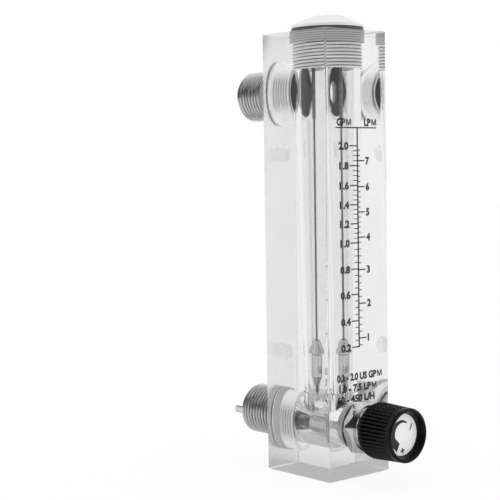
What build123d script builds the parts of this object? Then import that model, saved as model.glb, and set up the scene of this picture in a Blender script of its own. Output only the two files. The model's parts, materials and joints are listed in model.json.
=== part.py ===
"""Acrylic block rotameter with a float on a guide rod, two rear ports and a front needle valve.

The origin is the middle of the block's underside. +Z is up, the scale and the knob face -Y,
and the two threaded ports leave the back of the block along +Y. Sizes are in millimetres.
"""

import math
import os

from build123d import *

# Clear block
block_height = 180.0
side_wall = 3.7  # block's side to the widest hole
front_wall = 4.2  # block's front to the seat of the top plug
inlet_floor = 7.2  # block's underside to the inlet hole
edge_polish = 0.5
inlet_chamber_radius = 9.0
chamber_front_margin = 1.9  # bonnet's end to the edge of the float seat
chamber_back_margin = 1.1  # float seat to the inner end of a fitting
bore_bottom_radius = 6.4
bore_top_radius = 9.7
chamber_below_outlet = 11.4  # outlet axis down to the floor of the upper chamber
chamber_cone = 1.4  # height of the cone between that floor and the bore
recess_mark_radius = 2.8  # two blind recesses in the back
recess_mark_depth = 6.0
recess_mark_cone = 1.2
low_mark_rise = 30.5  # inlet axis up to the lower recess
high_mark_drop = 25.0  # outlet axis down to the upper recess
hole_gap = 0.1  # radial room between a fitting and its hole

# Domed top plug and its ring
plug_thread_radius = 10.9
plug_thread_length = 6.7
plug_hole_rest = 3.7  # tapped hole left below the plug
plug_shoulder = 0.9  # chamber wall inside the tapped hole's
plug_seat_step = 1.1
plug_seat_depth = 4.6
plug_seat_gap = 0.15
plug_clearance = 0.4  # plug's inner face over the outlet fitting
plug_ring_height = 1.6
plug_ring_width = 1.5
dome_overhang = 2.8
dome_rim = 1.0
dome_rise = 4.6
dome_slot_width = 1.4
dome_slot_depth = 1.6

# Guide rod, stop and seat for the float
rod_radius = 0.8
rod_grip = 6.0  # length held in the plug
stop_wall = 0.5
seat_ledge_width = 0.5
seat_disc_thickness = 2.8
seat_rise = 3.9  # top of the inlet chamber to the ledge over the disc
seat_hub_radius = 2.3
seat_hub_height = 3.2
seat_windows = 4
seat_window_wall = 0.4

# Float
float_clearance = 0.6
float_top_radius = 2.5
float_head_height = 4.6
float_rim = 0.5
float_body_radius = 3.9
float_body_length = 9.0
float_tail_radius = 1.9
float_tail_length = 3.8
float_hole_gap = 0.25
float_flutes = 8
float_flute_radius = 0.55
float_rest_gap = 0.2

# Rear port fittings
port_radius = 10.48
port_length = 24.5  # back face of the block to the end of the fitting
port_wall = 3.0
port_end_chamfer = 1.2
outlet_bore_radius = 5.0
lug_gap = 0.05  # driving lug's side to the faces of the port's wall
lug_length = 5.0
lug_chamfer = 0.4
neck_groove_length = 2.2
neck_groove_depth = 1.2
tail_radius = 12.3  # the end that is screwed into the block
tail_depth = 12.6
throat_step = 3.7  # throat behind the outlet fitting, inside its tapped hole
collar_step = 0.9
collar_length = 1.0
gasket_width = 2.6
outlet_gasket_thickness = 1.2
inlet_gasket_thickness = 3.6
cup_wall = 1.8  # wall round the wide inner end of a fitting
cup_depth = 6.0

# Needle valve
bonnet_thread_step = 0.25
bonnet_chamfer = 0.8
bonnet_gasket_thickness = 1.4
hex_shoulder = 1.45  # bonnet's thread to the hexagon's flats
hex_length = 4.0
hex_turn = 10.0  # degrees that the hexagon is turned out of level
hex_face_inset = 0.8  # the front's turned chamfer starts this far inside the flats
hex_chamfer_rise = 1.1  # length of that chamfer over its width
hex_back_outset = 0.6  # the back's small chamfer starts this far outside the flats
nose_step = 2.35  # bonnet's thread to its inner nose
nose_clearance = 0.3
neck_radius = 5.6
neck_length = 2.9
gland_step = 3.0
gland_length = 1.6
gland_chamfer = 0.4
spindle_radius = 3.0
spindle_gap = 0.05
knob_seat_step = 0.8
knob_seat_flat = 0.6  # depth of the flat that turns the knob
o_ring_section = 0.88
o_ring_inset = 2.0  # nose's end to the first ring's middle
o_ring_pitch = 4.2
o_ring_room = 0.03
valve_travel = 5.0
seat_bore_radius = 4.2
seat_web = 4.5
seat_chamfer = 1.2
seat_gap = 0.3
plug_head_step = 0.2
plug_head_length = 6.0
needle_length = 14.0
needle_tip_radius = 1.9
needle_tip_chamfer = 0.6
socket_depth = 4.2
socket_rest = 0.3
clip_width = 0.9
clip_setback = 1.4  # plug's front face to the middle of the clip
clip_bite = 0.6
clip_opening = 2.2
clip_side_gap = 0.1

# Knob
knob_gap = 0.7  # bonnet's neck to the back of the knob
knob_length = 17.5
knob_radius = 11.4
knob_back_step = 0.6
knob_front_step = 0.6
knob_lip = 0.6
knob_ribs = 44
knob_groove_depth = 0.4  # at the knob's narrow front
knob_groove_width = 1.0  # at the knob's widest
knob_smooth_front = 1.7  # front length without ribs
knob_rim_wall = 0.9  # front edge to the recess
knob_recess = 4.3
knob_recess_taper = 0.9
knob_skirt = 2.0
knob_hollow_depth = 4.0
knob_boss_wall = 2.4
cap_gap = 0.1
cap_thickness = 1.0
screw_wall = 1.0
screw_head_overhang = 1.6
screw_length = 8.0
screw_head_height = 2.0
screw_head_room = 0.3
screw_slot = 0.7

# Places worked out from the sizes above
collar_radius = tail_radius + collar_step
plug_seat_radius = plug_thread_radius + plug_seat_step
outlet_chamber_radius = plug_thread_radius - plug_shoulder
seat_disc_radius = bore_bottom_radius + seat_ledge_width
block_width = 2 * (collar_radius + hole_gap + side_wall)
bore_setback = plug_seat_radius + front_wall
bonnet_depth = bore_setback - seat_disc_radius - hole_gap - chamber_front_margin
block_depth = bore_setback + seat_disc_radius + hole_gap + chamber_back_margin + tail_depth
front_face = -block_depth / 2
back_face = block_depth / 2
bore_y = front_face + bore_setback
tail_end = back_face - tail_depth
port_end = back_face + port_length
collar_face = back_face - collar_length
inlet_height = inlet_floor + collar_radius + hole_gap
plug_seat = block_height - plug_seat_depth
plug_end = plug_seat - plug_thread_length
plug_hole_end = plug_end - plug_hole_rest
outlet_height = plug_end - plug_clearance - tail_radius
chamber_floor = outlet_height - chamber_below_outlet
bore_top = chamber_floor - chamber_cone
seat_ledge = inlet_height + inlet_chamber_radius + seat_rise
seat_bottom = seat_ledge - seat_disc_thickness
hub_top = seat_ledge + seat_hub_height
recess_mark_heights = (inlet_height + low_mark_rise, outlet_height - high_mark_drop)
throat_radius = tail_radius - throat_step
bonnet_radius = inlet_chamber_radius - bonnet_thread_step
bonnet_end = front_face + bonnet_depth
hex_flat = bonnet_radius + hex_shoulder
hex_back = front_face - bonnet_gasket_thickness
hex_front = hex_back - hex_length
neck_front = hex_front - neck_length
gland_radius = neck_radius + gland_step
web_face = tail_end + cup_depth
seat_cone = web_face + seat_bore_radius + seat_chamfer - seat_gap * math.sqrt(2)
plug_head_radius = seat_bore_radius + seat_chamfer - plug_head_step
needle_radius = seat_bore_radius - seat_gap
head_end = seat_cone - plug_head_radius
cone_end = seat_cone - needle_radius
plug_front = head_end - plug_head_length
needle_end = cone_end + needle_length
nose_end = plug_front - valve_travel - nose_clearance
clip_y = plug_front + clip_setback
spindle_hole = spindle_radius + spindle_gap
knob_back = neck_front - knob_gap
knob_front = knob_back - knob_length
cap_back = knob_front + knob_recess
bore_axis = Axis((0, bore_y, 0), (0, 0, 1))


def upright_plane():
    """Plane through the measuring bore's axis: local x is a radius and local y is height."""
    return Plane(origin=(0, bore_y, 0), x_dir=(1, 0, 0), z_dir=(0, -1, 0))


def level_plane(height):
    """Plane through a level axis: local x is a radius and local y runs along +Y of the part."""
    return Plane(origin=(0, 0, height), x_dir=(1, 0, 0), z_dir=(0, 0, 1))


def level_axis(height):
    return Axis((0, 0, height), (0, 1, 0))


def facing_plane(y, height=inlet_height):
    """Plane across a level axis, drawn as seen from the front and extruded towards -Y."""
    return Plane(origin=(0, y, height), x_dir=(1, 0, 0), z_dir=(0, -1, 0))


def finish(builder, name, colour):
    builder.part.label = name
    builder.part.color = Color(*colour)
    os.makedirs("parts", exist_ok=True)
    export_step(builder.part, f"parts/{name}.step")


clear = (0.9, 0.92, 0.93)
steel = (0.7, 0.7, 0.72)
black = (0.05, 0.05, 0.05)
grey = (0.45, 0.45, 0.46)
white = (0.95, 0.95, 0.95)

# Clear block: one piece, drilled from above, from behind and from the front
hole_past = 1.0
with BuildPart() as meter_block:
    with BuildSketch(Plane.XY):
        Rectangle(block_width, block_depth)
    extrude(amount=block_height)
    chamfer(meter_block.edges(), length=edge_polish)
    with BuildSketch(upright_plane()):
        with BuildLine():
            Polyline(
                (0, inlet_height),
                (seat_disc_radius + hole_gap, inlet_height),
                (seat_disc_radius + hole_gap, seat_ledge),
                (bore_bottom_radius, seat_ledge),
                (bore_top_radius, bore_top),
                (outlet_chamber_radius, chamber_floor),
                (outlet_chamber_radius, plug_hole_end),
                (plug_thread_radius + hole_gap, plug_hole_end),
                (plug_thread_radius + hole_gap, plug_seat),
                (plug_seat_radius, plug_seat),
                (plug_seat_radius, block_height + hole_past),
                (0, block_height + hole_past),
                close=True,
            )
        make_face()
    revolve(axis=bore_axis, mode=Mode.SUBTRACT)
    # The inlet runs from the front face to the back, with the valve on its axis
    with BuildSketch(level_plane(inlet_height)):
        with BuildLine():
            Polyline(
                (0, front_face - hole_past),
                (bonnet_radius + hole_gap, front_face - hole_past),
                (bonnet_radius + hole_gap, bonnet_end),
                (inlet_chamber_radius, bonnet_end),
                (inlet_chamber_radius, tail_end),
                (tail_radius + hole_gap, tail_end),
                (tail_radius + hole_gap, collar_face - inlet_gasket_thickness),
                (collar_radius + hole_gap, collar_face - inlet_gasket_thickness),
                (collar_radius + hole_gap, back_face + hole_past),
                (0, back_face + hole_past),
                close=True,
            )
        make_face()
    revolve(axis=level_axis(inlet_height), mode=Mode.SUBTRACT)
    # The outlet is a blind hole from the back into the upper chamber
    with BuildSketch(level_plane(outlet_height)):
        with BuildLine():
            Polyline(
                (0, bore_y),
                (throat_radius, bore_y),
                (throat_radius, tail_end),
                (tail_radius + hole_gap, tail_end),
                (tail_radius + hole_gap, collar_face - outlet_gasket_thickness),
                (collar_radius + hole_gap, collar_face - outlet_gasket_thickness),
                (collar_radius + hole_gap, back_face + hole_past),
                (0, back_face + hole_past),
                close=True,
            )
        make_face()
    revolve(axis=level_axis(outlet_height), mode=Mode.SUBTRACT)
    # Two blind round recesses in the back
    for mark_height in recess_mark_heights:
        with BuildSketch(level_plane(mark_height)):
            with BuildLine():
                Polyline(
                    (0, back_face - recess_mark_depth),
                    (recess_mark_radius - recess_mark_cone, back_face - recess_mark_depth),
                    (recess_mark_radius, back_face - recess_mark_depth + recess_mark_cone),
                    (recess_mark_radius, back_face + hole_past),
                    (0, back_face + hole_past),
                    close=True,
                )
            make_face()
        revolve(axis=level_axis(mark_height), mode=Mode.SUBTRACT)
finish(meter_block, "meter_block", clear)

# Domed plug that closes the bore and holds the guide rod
shank_radius = plug_seat_radius - plug_seat_gap
dome_radius = plug_seat_radius + dome_overhang
ring_inner_radius = dome_radius - plug_ring_width
dome_base = block_height + plug_ring_height
dome_top = dome_base + dome_rim + dome_rise
dome_curve = (dome_radius**2 + dome_rise**2) / (2 * dome_rise)
with BuildPart() as top_plug:
    with BuildSketch(upright_plane()):
        with BuildLine():
            Polyline(
                (0, dome_top),
                (0, plug_end),
                (plug_thread_radius, plug_end),
                (plug_thread_radius, plug_seat),
                (shank_radius, plug_seat),
                (shank_radius, block_height),
                (ring_inner_radius, block_height),
                (ring_inner_radius, dome_base),
                (dome_radius, dome_base),
                (dome_radius, dome_base + dome_rim),
            )
            RadiusArc((dome_radius, dome_base + dome_rim), (0, dome_top), -dome_curve)
        make_face()
    revolve(axis=bore_axis)
    # Coin slot across the dome, from front to back
    with BuildSketch(Plane(origin=(0, bore_y, dome_top))):
        Rectangle(dome_slot_width, 2 * dome_radius)
    extrude(amount=-dome_slot_depth, mode=Mode.SUBTRACT)
    # Socket for the guide rod
    with BuildSketch(Plane(origin=(0, bore_y, plug_end))):
        Circle(rod_radius)
    extrude(amount=rod_grip, mode=Mode.SUBTRACT)
finish(top_plug, "top_plug", clear)

with BuildPart() as plug_ring:
    with BuildSketch(upright_plane()):
        with BuildLine():
            Polyline(
                (dome_radius - plug_ring_height / 4, block_height),
                (ring_inner_radius, block_height),
                (ring_inner_radius, dome_base),
                (dome_radius - plug_ring_height / 4, dome_base),
            )
            ThreePointArc(
                (dome_radius - plug_ring_height / 4, dome_base),
                (dome_radius, block_height + plug_ring_height / 2),
                (dome_radius - plug_ring_height / 4, block_height),
            )
        make_face()
    revolve(axis=bore_axis)
finish(plug_ring, "plug_ring", black)

# Rod that the float slides on, with the sleeve that stops it at the top
with BuildPart() as guide_rod:
    with BuildSketch(Plane(origin=(0, bore_y, seat_bottom))):
        Circle(rod_radius)
    extrude(amount=plug_end + rod_grip - seat_bottom)
finish(guide_rod, "guide_rod", steel)

stop_radius = rod_radius + stop_wall
with BuildPart() as float_stop:
    with BuildSketch(Plane(origin=(0, bore_y, chamber_floor))):
        Circle(stop_radius)
        Circle(rod_radius, mode=Mode.SUBTRACT)
    extrude(amount=plug_end - chamber_floor)
    stop_end = float_stop.faces().sort_by(Axis.Z)[0]
    chamfer(stop_end.edges().sort_by(SortBy.RADIUS)[-1], length=stop_wall / 2)
finish(float_stop, "float_stop", steel)

# Disc with flow windows that holds the foot of the rod and carries the resting float
window_radius = (bore_bottom_radius - seat_hub_radius) / 2 - seat_window_wall
window_circle = (bore_bottom_radius + seat_hub_radius) / 2
with BuildPart() as float_seat:
    with BuildSketch(Plane(origin=(0, bore_y, seat_bottom))):
        Circle(seat_disc_radius)
    extrude(amount=seat_disc_thickness)
    with BuildSketch(Plane(origin=(0, bore_y, seat_ledge))):
        Circle(seat_hub_radius)
    extrude(amount=seat_hub_height)
    with BuildSketch(Plane(origin=(0, bore_y, seat_bottom))):
        Circle(rod_radius)
        with PolarLocations(window_circle, seat_windows, start_angle=45):
            Circle(window_radius)
    extrude(amount=seat_disc_thickness + seat_hub_height, mode=Mode.SUBTRACT)
    hub_end = float_seat.faces().sort_by(Axis.Z)[-1]
    chamfer(hub_end.edges().sort_by(SortBy.RADIUS)[-1], length=(seat_hub_radius - rod_radius) / 3)
finish(float_seat, "float_seat", clear)

# Float: fluted conical head that is read at its widest edge, on a tapered body
float_radius = bore_bottom_radius - float_clearance
float_bottom = hub_top + float_rest_gap
float_shoulder = float_bottom + float_tail_length + float_body_length
float_top = float_shoulder + float_rim + float_head_height
with BuildPart() as meter_float:
    with BuildSketch(upright_plane()):
        with BuildLine():
            Polyline(
                (rod_radius + float_hole_gap, float_bottom),
                (float_tail_radius, float_bottom),
                (float_body_radius, float_bottom + float_tail_length),
                (float_body_radius, float_shoulder),
                (float_radius, float_shoulder),
                (float_radius, float_shoulder + float_rim),
                (float_top_radius, float_top),
                (rod_radius + float_hole_gap, float_top),
                close=True,
            )
        make_face()
    revolve(axis=bore_axis)
    with BuildSketch(Plane(origin=(0, bore_y, float_shoulder))):
        with PolarLocations(float_radius, float_flutes):
            Circle(float_flute_radius)
    extrude(amount=float_rim + float_head_height, mode=Mode.SUBTRACT)
finish(meter_float, "meter_float", steel)

# Rear fittings: steel tubes with a wide inner end, the inlet's with the needle's seat across it
port_bore_radius = port_radius - port_wall
cup_radius = tail_radius - cup_wall


def port_outline(gasket_thickness):
    """Outside of a fitting from its inner end to its threaded end, as radius and Y."""
    return Polyline(
        (0, tail_end),
        (tail_radius, tail_end),
        (tail_radius, collar_face - gasket_thickness),
        (collar_radius - gasket_width, collar_face - gasket_thickness),
        (collar_radius - gasket_width, collar_face),
        (collar_radius, collar_face),
        (collar_radius, back_face),
        (port_radius - neck_groove_depth, back_face),
        (port_radius - neck_groove_depth, back_face + neck_groove_length),
        (port_radius, back_face + neck_groove_length + neck_groove_depth),
        (port_radius, port_end - port_end_chamfer),
        (port_radius - port_end_chamfer, port_end),
        (0, port_end),
        close=True,
    )


with BuildPart() as outlet_fitting:
    with BuildSketch(level_plane(outlet_height)):
        with BuildLine():
            port_outline(outlet_gasket_thickness)
        make_face()
        with BuildLine():
            Polyline(
                (0, tail_end),
                (cup_radius, tail_end),
                (cup_radius, web_face),
                (outlet_bore_radius, web_face + cup_radius - outlet_bore_radius),
                (outlet_bore_radius, port_end),
                (0, port_end),
                close=True,
            )
        make_face(mode=Mode.SUBTRACT)
    revolve(axis=level_axis(outlet_height))
finish(outlet_fitting, "outlet_fitting", steel)

with BuildPart() as inlet_fitting:
    with BuildSketch(level_plane(inlet_height)):
        with BuildLine():
            port_outline(inlet_gasket_thickness)
        make_face()
        with BuildLine():
            Polyline(
                (0, tail_end),
                (cup_radius, tail_end),
                (cup_radius, web_face),
                (seat_bore_radius + seat_chamfer, web_face),
                (seat_bore_radius, web_face + seat_chamfer),
                (seat_bore_radius, web_face + seat_web),
                (port_bore_radius, web_face + seat_web),
                (port_bore_radius, port_end),
                (0, port_end),
                close=True,
            )
        make_face(mode=Mode.SUBTRACT)
    revolve(axis=level_axis(inlet_height))
    # Two lugs on the end that the fitting is screwed in by
    with BuildSketch(facing_plane(port_end + lug_length)):
        with PolarLocations((port_radius + port_bore_radius) / 2, 2):
            Circle(port_wall / 2 - lug_gap)
    extrude(amount=lug_length + port_end_chamfer)
    lug_ends = inlet_fitting.faces().group_by(Axis.Y)[-1]
    chamfer(lug_ends.edges(), length=lug_chamfer)
finish(inlet_fitting, "inlet_fitting", steel)


def port_gasket(thickness, height):
    with BuildPart() as gasket:
        with BuildSketch(facing_plane(collar_face, height)):
            Circle(collar_radius)
            Circle(collar_radius - gasket_width, mode=Mode.SUBTRACT)
        extrude(amount=thickness)
    return gasket


finish(port_gasket(outlet_gasket_thickness, outlet_height), "outlet_gasket", grey)
finish(port_gasket(inlet_gasket_thickness, inlet_height), "inlet_gasket", grey)

# Valve bonnet: screwed into the front wall, with a hexagon outside and a nose inside that
# holds two sealing rings round the spindle
ring_circle = spindle_hole + o_ring_section
groove_radius = ring_circle + o_ring_section + o_ring_room
groove_half = o_ring_section + o_ring_room
o_ring_places = [nose_end - o_ring_inset - n * o_ring_pitch for n in range(2)]
hex_corner = hex_flat * 2 / math.sqrt(3)
turn_out = hex_corner + 1
turn_in = hex_flat - hex_face_inset
turn_rise = (turn_out - turn_in) * hex_chamfer_rise
back_turn_in = hex_flat + hex_back_outset
back_turn_rise = (turn_out - back_turn_in) * hex_chamfer_rise
with BuildPart() as valve_bonnet:
    with BuildSketch(facing_plane(hex_back)):
        RegularPolygon(hex_flat, 6, major_radius=False, rotation=-hex_turn)
    extrude(amount=hex_length)
    with BuildSketch(level_plane(inlet_height)):
        with BuildLine():
            Polyline(
                (turn_in, hex_front),
                (turn_out, hex_front),
                (turn_out, hex_front + turn_rise),
                close=True,
            )
        make_face()
        with BuildLine():
            Polyline(
                (back_turn_in, hex_back),
                (turn_out, hex_back),
                (turn_out, hex_back - back_turn_rise),
                close=True,
            )
        make_face()
    revolve(axis=level_axis(inlet_height), mode=Mode.SUBTRACT)
    with BuildSketch(level_plane(inlet_height)):
        with BuildLine():
            Polyline(
                (0, nose_end),
                (bonnet_radius - nose_step, nose_end),
                (bonnet_radius - nose_step, bonnet_end),
                (bonnet_radius - bonnet_chamfer, bonnet_end),
                (bonnet_radius, bonnet_end - bonnet_chamfer),
                (bonnet_radius, hex_back),
                (0, hex_back),
                close=True,
            )
        make_face()
        with BuildLine():
            Polyline(
                (0, hex_front),
                (neck_radius, hex_front),
                (neck_radius, neck_front),
                (0, neck_front),
                close=True,
            )
        make_face()
    revolve(axis=level_axis(inlet_height))
    with BuildSketch(facing_plane(nose_end)):
        Circle(spindle_hole)
    extrude(amount=nose_end - neck_front, mode=Mode.SUBTRACT)
    for ring_y in o_ring_places:
        with BuildSketch(facing_plane(ring_y + groove_half)):
            Circle(groove_radius)
        extrude(amount=2 * groove_half, mode=Mode.SUBTRACT)
finish(valve_bonnet, "valve_bonnet", steel)

with BuildPart() as bonnet_gasket:
    with BuildSketch(facing_plane(front_face)):
        Circle(hex_flat)
        Circle(bonnet_radius, mode=Mode.SUBTRACT)
    extrude(amount=bonnet_gasket_thickness)
finish(bonnet_gasket, "bonnet_gasket", black)

for number, ring_y in enumerate(o_ring_places, start=1):
    with BuildPart() as spindle_ring:
        with BuildSketch(level_plane(inlet_height)):
            with Locations((ring_circle, ring_y)):
                Circle(o_ring_section)
        revolve(axis=level_axis(inlet_height))
    finish(spindle_ring, f"spindle_o_ring_{number}", black)

# Ring nut on the bonnet's neck, against the hexagon
with BuildPart() as gland_nut:
    with BuildSketch(facing_plane(hex_front)):
        Circle(gland_radius)
        Circle(neck_radius, mode=Mode.SUBTRACT)
    extrude(amount=gland_length)
    nut_rim = gland_nut.faces().sort_by(Axis.Y)[0].edges().sort_by(SortBy.RADIUS)[-1]
    chamfer(nut_rim, length=gland_chamfer)
finish(gland_nut, "gland_nut", steel)

# Needle plug: a head that the spindle turns in, a cone and a needle in the inlet's seat
with BuildPart() as needle_plug:
    with BuildSketch(level_plane(inlet_height)):
        with BuildLine():
            Polyline(
                (0, plug_front),
                (plug_head_radius, plug_front),
                (plug_head_radius, head_end),
                (needle_radius, cone_end),
                (needle_tip_radius, needle_end - needle_tip_chamfer),
                (needle_tip_radius - needle_tip_chamfer, needle_end),
                (0, needle_end),
                close=True,
            )
        make_face()
    revolve(axis=level_axis(inlet_height))
    with BuildSketch(facing_plane(plug_front + socket_depth)):
        Circle(spindle_hole)
    extrude(amount=socket_depth, mode=Mode.SUBTRACT)
    with BuildSketch(facing_plane(clip_y + clip_width / 2)):
        Circle(spindle_hole + clip_bite)
    extrude(amount=clip_width, mode=Mode.SUBTRACT)
finish(needle_plug, "needle_plug", steel)

# Open wire clip that keeps the needle plug on the spindle but lets the spindle turn
with BuildPart() as plug_clip:
    with BuildSketch(facing_plane(clip_y + clip_width / 2)):
        Circle(spindle_hole + clip_bite)
        Circle(spindle_hole - clip_bite, mode=Mode.SUBTRACT)
        with Locations((0, -spindle_radius)):
            Rectangle(clip_opening, spindle_radius, mode=Mode.SUBTRACT)
    extrude(amount=clip_width)
finish(plug_clip, "plug_clip", steel)

# Spindle: turned rod with the clip's groove at one end and the knob's seat at the other
knob_seat_radius = spindle_radius - knob_seat_step
screw_radius = knob_seat_radius - screw_wall
screw_head_radius = screw_radius + screw_head_overhang
spindle_inner_end = plug_front + socket_depth - socket_rest
spindle_front = cap_back + screw_head_height + screw_head_room


def knob_seat():
    """Round seat with one flat, as seen from the front."""
    Circle(knob_seat_radius)
    with Locations((0, 2 * knob_seat_radius - knob_seat_flat)):
        Rectangle(2 * knob_seat_radius, 2 * knob_seat_radius, mode=Mode.SUBTRACT)


with BuildPart() as valve_spindle:
    with BuildSketch(facing_plane(spindle_inner_end)):
        Circle(spindle_radius)
    extrude(amount=spindle_inner_end - knob_back)
    with BuildSketch(facing_plane(clip_y + clip_width / 2 + clip_side_gap)):
        Circle(spindle_radius)
        Circle(spindle_radius - clip_bite, mode=Mode.SUBTRACT)
    extrude(amount=clip_width + 2 * clip_side_gap, mode=Mode.SUBTRACT)
    with BuildSketch(facing_plane(knob_back)):
        knob_seat()
    extrude(amount=knob_back - spindle_front)
    with BuildSketch(facing_plane(spindle_front + screw_length)):
        Circle(screw_radius)
    extrude(amount=screw_length, mode=Mode.SUBTRACT)
finish(valve_spindle, "valve_spindle", steel)

# Knob: ribbed grip, hollow behind and recessed in front
knob_back_radius = knob_radius - knob_back_step
knob_front_radius = knob_radius - knob_front_step
knob_lip_radius = knob_front_radius - knob_lip
rim_radius = knob_lip_radius - knob_rim_wall
recess_radius = rim_radius - knob_recess_taper
cap_front = cap_back - cap_thickness
groove_floor = knob_front_radius - knob_groove_depth
groove_top = 1.3 * (knob_radius - groove_floor)
groove_half = 1.3 * knob_groove_width / 2
boss_radius = spindle_radius + knob_boss_wall
with BuildPart() as knob:
    with BuildSketch(level_plane(inlet_height)):
        with BuildLine():
            Polyline(
                (0, cap_back),
                (0, knob_back),
                (boss_radius, knob_back),
                (boss_radius, knob_back - knob_hollow_depth),
                (knob_back_radius - knob_skirt, knob_back - knob_hollow_depth),
                (knob_back_radius - knob_skirt, knob_back),
                (knob_back_radius - knob_lip / 2, knob_back),
                (knob_back_radius, knob_back - knob_lip / 2),
                (knob_radius, knob_back - knob_skirt),
                (knob_front_radius, knob_front + knob_lip),
            )
            RadiusArc(
                (knob_front_radius, knob_front + knob_lip),
                (knob_lip_radius, knob_front),
                -knob_lip,
            )
            Polyline(
                (knob_lip_radius, knob_front),
                (rim_radius, knob_front),
                (recess_radius, cap_front),
                (recess_radius, cap_back),
                (0, cap_back),
            )
        make_face()
    revolve(axis=level_axis(inlet_height))
    # Grip grooves stop short of the smooth front edge
    with BuildSketch(facing_plane(knob_back)):
        with PolarLocations(groove_floor, knob_ribs):
            Polygon((0, 0), (groove_top, -groove_half), (groove_top, groove_half), align=None)
    extrude(amount=knob_length - knob_smooth_front, mode=Mode.SUBTRACT)
    # Holes for the spindle's end and for the screw's head
    with BuildSketch(facing_plane(knob_back)):
        knob_seat()
    extrude(amount=knob_back - cap_back, mode=Mode.SUBTRACT)
    with BuildSketch(facing_plane(spindle_front)):
        Circle(screw_head_radius + cap_gap)
    extrude(amount=spindle_front - cap_back, mode=Mode.SUBTRACT)
finish(knob, "knob", black)

with BuildPart() as knob_screw:
    with BuildSketch(facing_plane(spindle_front + screw_length)):
        Circle(screw_radius)
    extrude(amount=screw_length)
    with BuildSketch(facing_plane(spindle_front)):
        Circle(screw_head_radius)
    extrude(amount=screw_head_height)
    with BuildSketch(facing_plane(spindle_front - screw_head_height)):
        Rectangle(screw_slot, 2 * screw_head_radius)
    extrude(amount=-screw_slot, mode=Mode.SUBTRACT)
finish(knob_screw, "knob_screw", steel)

with BuildPart() as knob_cap:
    with BuildSketch(facing_plane(cap_back)):
        Circle(recess_radius - cap_gap)
    extrude(amount=cap_thickness)
finish(knob_cap, "knob_cap", white)
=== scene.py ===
"""Looks of the block rotameter: clear block with tapped holes, steel fittings, printed scale and ribbed knob.

Turned pieces are profiles of radius and place along an axis, taken round a full circle with NumPy.
Sizes are in millimetres in the solids' frame, the meshes are in metres.
"""

import json
import math

import bmesh
import bpy
import numpy as np
from mathutils import Matrix, Vector


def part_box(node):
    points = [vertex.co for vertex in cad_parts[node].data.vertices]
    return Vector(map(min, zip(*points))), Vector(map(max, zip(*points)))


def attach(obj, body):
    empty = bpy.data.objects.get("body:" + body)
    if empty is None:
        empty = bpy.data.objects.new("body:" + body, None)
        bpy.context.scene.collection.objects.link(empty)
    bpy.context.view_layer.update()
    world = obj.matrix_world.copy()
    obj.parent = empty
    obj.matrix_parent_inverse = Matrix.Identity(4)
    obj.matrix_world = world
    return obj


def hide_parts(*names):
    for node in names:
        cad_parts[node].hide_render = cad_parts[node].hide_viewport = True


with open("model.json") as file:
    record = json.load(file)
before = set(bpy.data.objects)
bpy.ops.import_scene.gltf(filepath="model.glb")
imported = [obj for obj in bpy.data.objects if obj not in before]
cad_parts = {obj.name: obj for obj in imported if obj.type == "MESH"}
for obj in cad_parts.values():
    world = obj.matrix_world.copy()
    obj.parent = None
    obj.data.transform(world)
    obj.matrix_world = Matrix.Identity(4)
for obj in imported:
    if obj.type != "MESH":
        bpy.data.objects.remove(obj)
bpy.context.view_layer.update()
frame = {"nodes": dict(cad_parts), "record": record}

MM = 0.001
TURN = 2 * math.pi

# Camera, fitted to the photograph
camera_azimuth = math.radians(-40.926)
camera_height_angle = math.radians(3.611)
camera_roll = math.radians(-0.86)
camera_offset = (-32.62, 91.2)
camera_distance = 550.772
focal_pixels = 1323.262
photo_pixels = 500
sensor_width = 36.0
clip_start = 0.01

# Threads: pitch and depth
port_thread = (1.814, 1.1)
tail_thread = (1.5, 0.8)
plug_thread = (1.34, 0.75)
bonnet_thread = (1.25, 0.6)

# Fits and edges: a hole's play, the overlap of clear and opaque pieces, and a cutter's run past a piece
hole_gap = 0.1
contact = 0.04
past = 1.0
corner_reach = 0.25
corner_share = 0.45
block_bevel = 0.3
cut_smooth_angle = 40.0


def box_mm(node):
    """Lowest and highest corner of a node, in millimetres."""
    low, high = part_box(node)
    return np.array(low) / MM, np.array(high) / MM


block_low, block_high = box_mm("meter_block")
outlet_low, outlet_high = box_mm("outlet_fitting")
inlet_low, inlet_high = box_mm("inlet_fitting")
rod_low, rod_high = box_mm("guide_rod")
plug_low, plug_high = box_mm("top_plug")
ring_top = box_mm("plug_ring")[1][2]
seat_low, seat_high = box_mm("float_seat")
stop_low = box_mm("float_stop")[0]
float_low, float_high = box_mm("meter_float")
bonnet_low, bonnet_high = box_mm("valve_bonnet")
bonnet_gasket_front = box_mm("bonnet_gasket")[0][1]
outlet_gasket_front = box_mm("outlet_gasket")[0][1]
inlet_gasket_front = box_mm("inlet_gasket")[0][1]
knob_low, knob_high = box_mm("knob")
cap_low, cap_high = box_mm("knob_cap")

block_height = block_high[2]
front_face = block_low[1]
back_face = block_high[1]
bore_y = (rod_low[1] + rod_high[1]) / 2
rod_radius = (rod_high[0] - rod_low[0]) / 2
inlet_height = (inlet_low[2] + inlet_high[2]) / 2
outlet_height = (outlet_low[2] + outlet_high[2]) / 2
tail_end = outlet_low[1]
port_end = outlet_high[1]
collar_radius = (outlet_high[0] - outlet_low[0]) / 2
dome_radius = (plug_high[0] - plug_low[0]) / 2

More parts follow.
